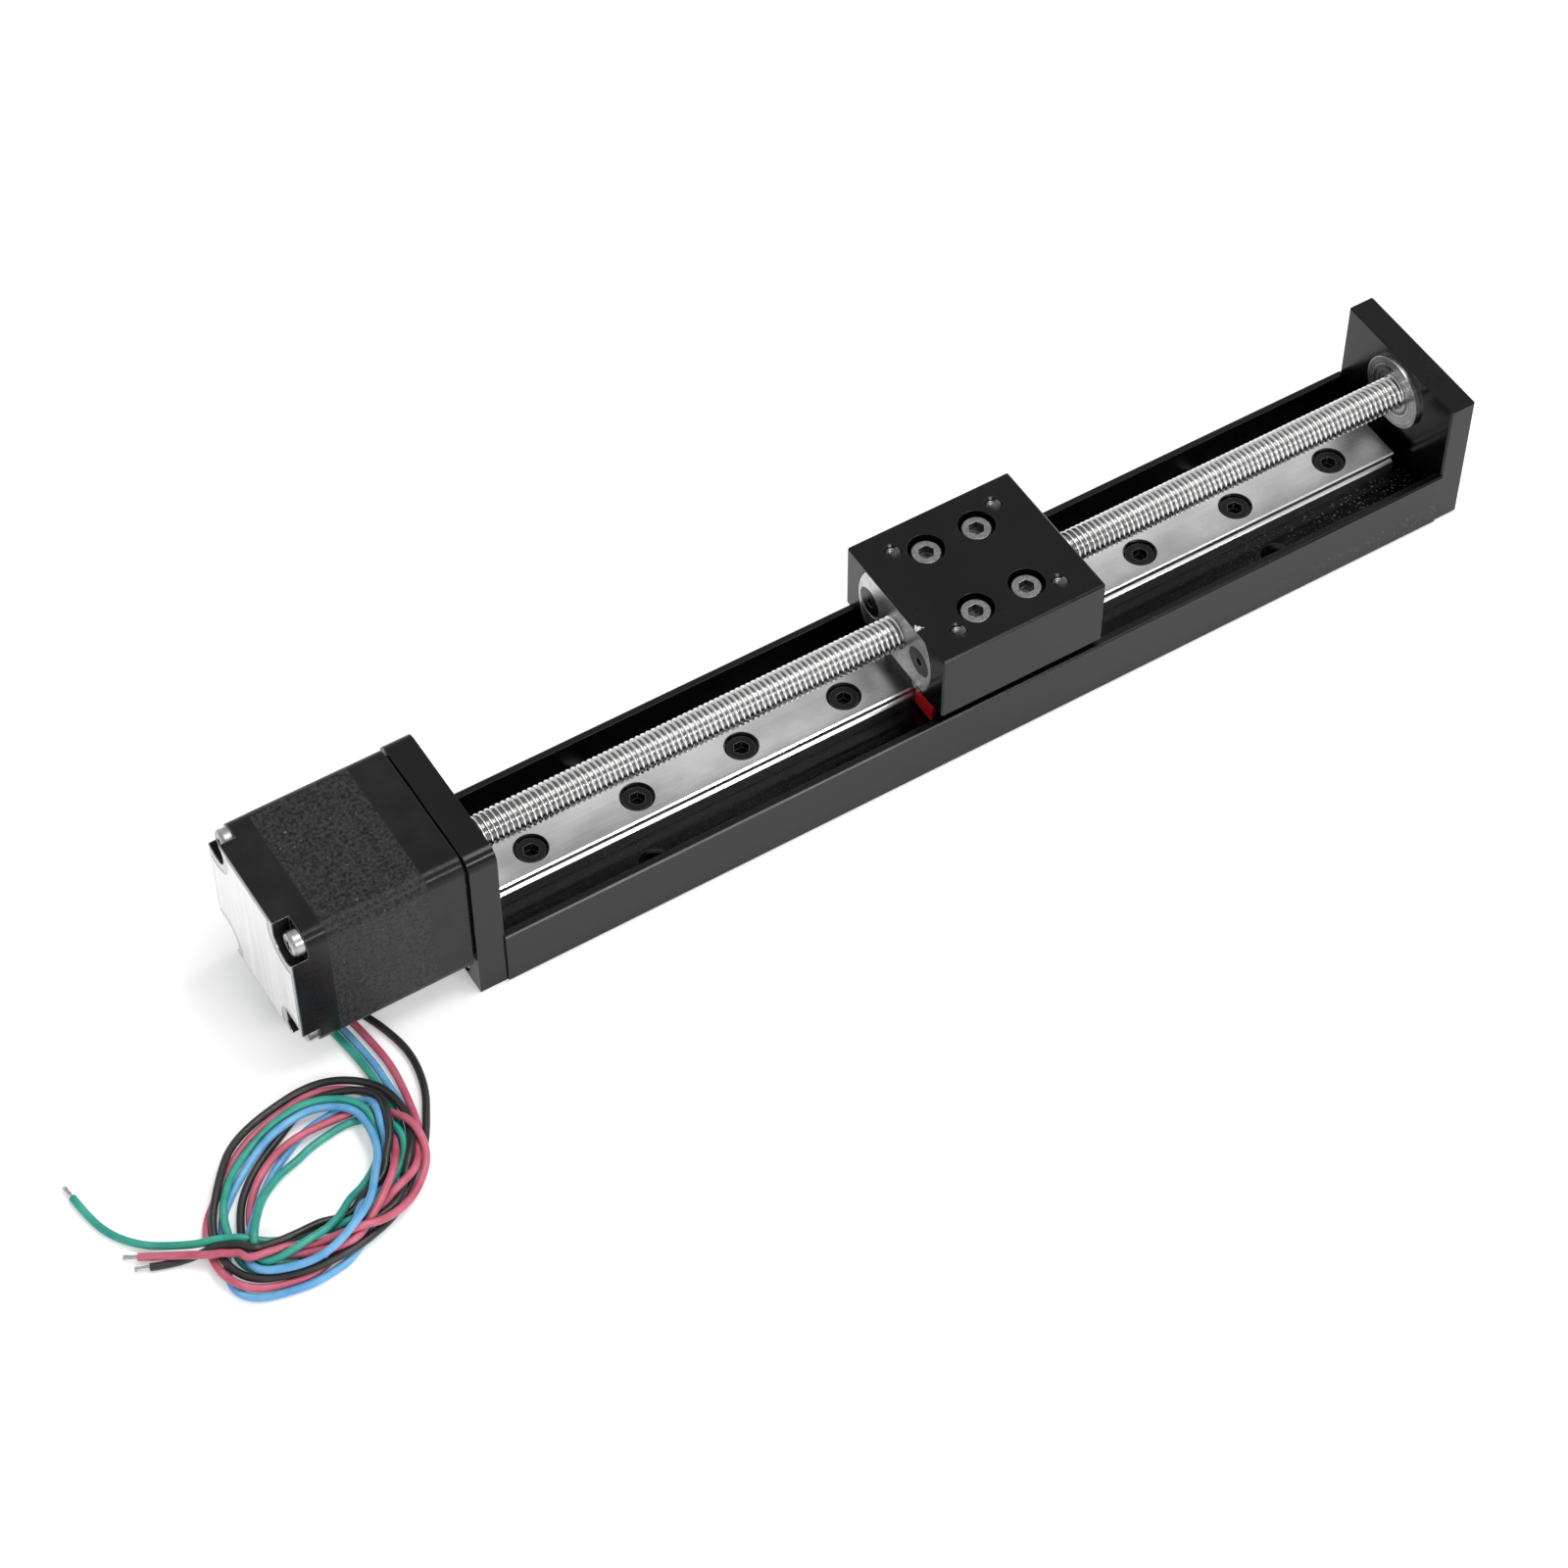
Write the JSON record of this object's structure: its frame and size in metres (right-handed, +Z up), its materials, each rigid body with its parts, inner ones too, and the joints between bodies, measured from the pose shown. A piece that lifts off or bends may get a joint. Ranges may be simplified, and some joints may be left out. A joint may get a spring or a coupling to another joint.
{
  "type": "linear slide",
  "caption": "Compact motorised linear slide: a carriage on a miniature ball rail in a U-channel base, driven by a fine lead screw and a square stepper motor.",
  "frame": {"origin": "centre of the base's underside, which is the centre of its four mounting holes", "axes": "+X along the travel from the motor to the end plate, +Y to the back, +Z up out of the carriage's top"},
  "size_m": [0.27, 0.0647, 0.034],
  "materials": {
    "black_anodised": "satin black anodised",
    "ground_steel": "ground and polished",
    "nut_steel": "turned, bright",
    "rolled_steel": "rolled thread, bright",
    "black_oxide": "black oxide",
    "zinc_plate": "bright zinc plate",
    "black_plastic": "moulded",
    "red_seal": "moulded wiper",
    "bearing_steel": "ground bearing steel",
    "motor_black": "satin black, fine cast grain",
    "lamination": "painted lamination stack",
    "copper": "enamelled copper wire",
    "rotor_steel": "laminated steel",
    "magnet": "sintered",
    "lead_green": "extruded insulation",
    "lead_blue": "extruded insulation",
    "lead_red": "extruded insulation",
    "lead_black": "extruded insulation",
    "tinned_copper": "tinned strands"
  },
  "bodies": {
    "base": {"base_profile": "black_anodised", "end_bearing_balls": "bearing_steel", "end_bearing_outer_ring": "bearing_steel", "end_bearing_shields": "bearing_steel", "end_plate": "black_anodised", "end_plate_screws": "black_oxide", "front_bearing_balls": "bearing_steel", "front_bearing_outer_ring": "bearing_steel", "front_bearing_shields": "bearing_steel", "guide_rail": "ground_steel", "lead_black": "lead_black", "lead_blue": "lead_blue", "lead_coil": "lead_black", "lead_green": "lead_green", "lead_grommet": "black_plastic", "lead_red": "lead_red", "lead_tips": "tinned_copper", "motor_front_cap": "motor_black", "motor_mount_screws": "black_oxide", "motor_plate": "black_anodised", "motor_plate_screws": "zinc_plate", "motor_rear_cap": "motor_black", "motor_screws": "zinc_plate", "motor_stator": "lamination", "motor_windings": "copper", "rail_screws": "black_oxide", "rear_bearing_balls": "bearing_steel", "rear_bearing_outer_ring": "bearing_steel", "rear_bearing_shields": "bearing_steel", "tail_black": "lead_black", "tail_green": "lead_green", "tail_red": "lead_red", "wave_washer": "bearing_steel"},
    "screw": {"lead_screw": "rolled_steel", "rotor_cups": "rotor_steel", "rotor_magnet": "magnet", "end_bearing_inner_ring": "bearing_steel", "front_bearing_inner_ring": "bearing_steel", "rear_bearing_inner_ring": "bearing_steel"},
    "carriage": {"carriage": "black_anodised", "carriage_screws": "zinc_plate", "guide_block": "ground_steel", "block_end_caps": "black_plastic", "block_end_seals": "red_seal", "block_end_screws": "zinc_plate", "block_balls": "bearing_steel", "lead_nut": "nut_steel", "nut_screws": "black_oxide"}
  },
  "joints": [
    {"name": "screw_spin", "type": "hinge", "parent": "base", "child": "screw", "pos_m": [0, 0, 0.02], "axis": [1, 0, 0], "range_deg": [-24850, 29170]},
    {"name": "carriage_slide", "type": "slide", "parent": "base", "child": "carriage", "axis": [1, 0, 0], "range_m": [-0.081, 0.069]}
  ],
  "couplings": [
    {"joint": "screw_spin", "follows": "carriage_slide", "rad_per_m": -6283.2}
  ]
}
